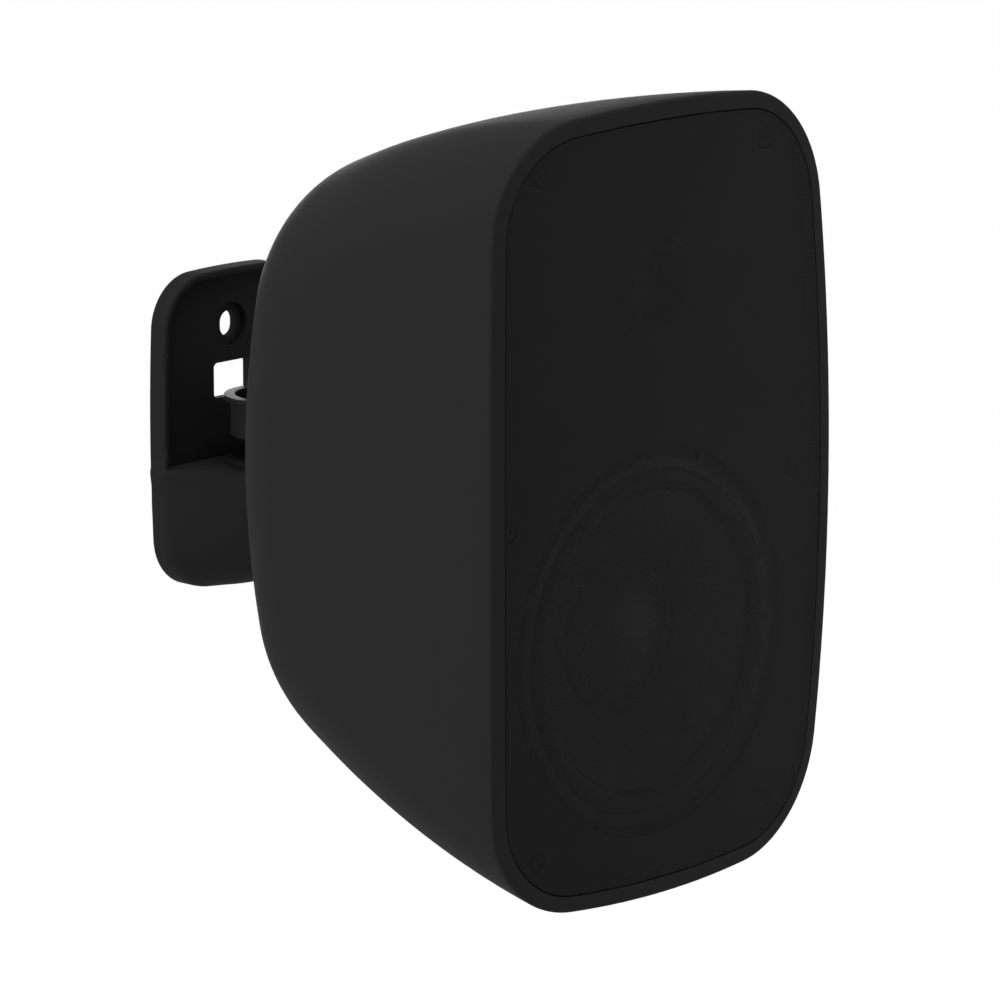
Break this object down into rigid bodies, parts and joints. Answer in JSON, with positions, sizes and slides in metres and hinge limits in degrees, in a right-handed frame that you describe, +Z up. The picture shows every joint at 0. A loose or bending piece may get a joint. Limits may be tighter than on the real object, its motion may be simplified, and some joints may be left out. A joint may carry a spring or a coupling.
{
  "type": "wall speaker",
  "caption": "Two-way loudspeaker in a tapered moulded cabinet with a domed perforated grille, on a wall bracket that pans and tilts.",
  "frame": {"origin": "on the wall, on the bracket's centre line, level with the middle of the cabinet's front", "axes": "+X right as seen from the room, +Y into the wall, +Z up; the front faces -Y"},
  "size_m": [0.2018, 0.2567, 0.321],
  "materials": {
    "cabinet_plastic": "fine satin texture",
    "bracket_plastic": "satin",
    "baffle_plastic": "matte",
    "grille_steel": "matte powder coat, perforated",
    "arm_metal": "satin powder coat",
    "bushing_plastic": "matte",
    "black_steel": "satin",
    "screw_steel": "blackened",
    "plated_iron": "zinc plated",
    "ferrite": "matte",
    "cone_plastic": "satin",
    "coil_former_foil": "thin foil",
    "copper_wire": "enamelled copper",
    "rubber_roll": "matte",
    "cloth": "impregnated weave",
    "board_laminate": "lacquered",
    "capacitor_sleeve": "sleeve",
    "resistor_body": "cement",
    "terminal_plastic": "satin"
  },
  "bodies": {
    "wall_bracket": {"wall_plate": "bracket_plastic", "friction_disc": "bushing_plastic", "pivot_bolt": "screw_steel", "pivot_washer": "screw_steel", "pivot_nut": "screw_steel"},
    "arm": {"swivel_arm": "arm_metal", "pivot_bushing": "bushing_plastic"},
    "speaker": {"cabinet_shell": "cabinet_plastic", "rear_cup": "cabinet_plastic", "front_baffle": "baffle_plastic", "baffle_gasket": "rubber_roll", "baffle_screws": "screw_steel", "grille": "grille_steel", "rear_clevis": "black_steel", "clevis_screws": "screw_steel", "tilt_bolt": "screw_steel", "tilt_washers": "screw_steel", "tilt_nut": "screw_steel", "woofer_basket": "black_steel", "woofer_gasket": "rubber_roll", "woofer_screws": "screw_steel", "woofer_top_plate": "plated_iron", "woofer_magnet": "ferrite", "woofer_yoke": "plated_iron", "woofer_surround": "rubber_roll", "spider": "cloth", "tweeter_plate": "baffle_plastic", "tweeter_dome": "cloth", "tweeter_magnet": "ferrite", "tweeter_yoke": "plated_iron", "tweeter_screws": "screw_steel", "crossover_board": "board_laminate", "board_screws": "screw_steel", "inductors": "copper_wire", "capacitors": "capacitor_sleeve", "resistor": "resistor_body", "terminal_plate": "terminal_plastic", "terminal_screws": "screw_steel", "terminal_block": "terminal_plastic"},
    "cone": {"woofer_cone": "cone_plastic", "dust_cap": "cone_plastic", "voice_coil_former": "coil_former_foil", "voice_coil_winding": "copper_wire"}
  },
  "joints": [
    {"name": "pan", "type": "hinge", "parent": "wall_bracket", "child": "arm", "pos_m": [0, -0.031, 0], "axis": [0, 0, 1], "range_deg": [-45, 45]},
    {"name": "tilt", "type": "hinge", "parent": "arm", "child": "speaker", "pos_m": [0, -0.074, 0.0056], "axis": [1, 0, 0], "range_deg": [-10, 10]},
    {"name": "cone_excursion", "type": "slide", "parent": "speaker", "child": "cone", "axis": [0, -1, 0], "range_m": [-0.004, 0.004], "stiffness_N_per_m": 1500, "deforming": ["woofer_surround", "spider"]}
  ]
}
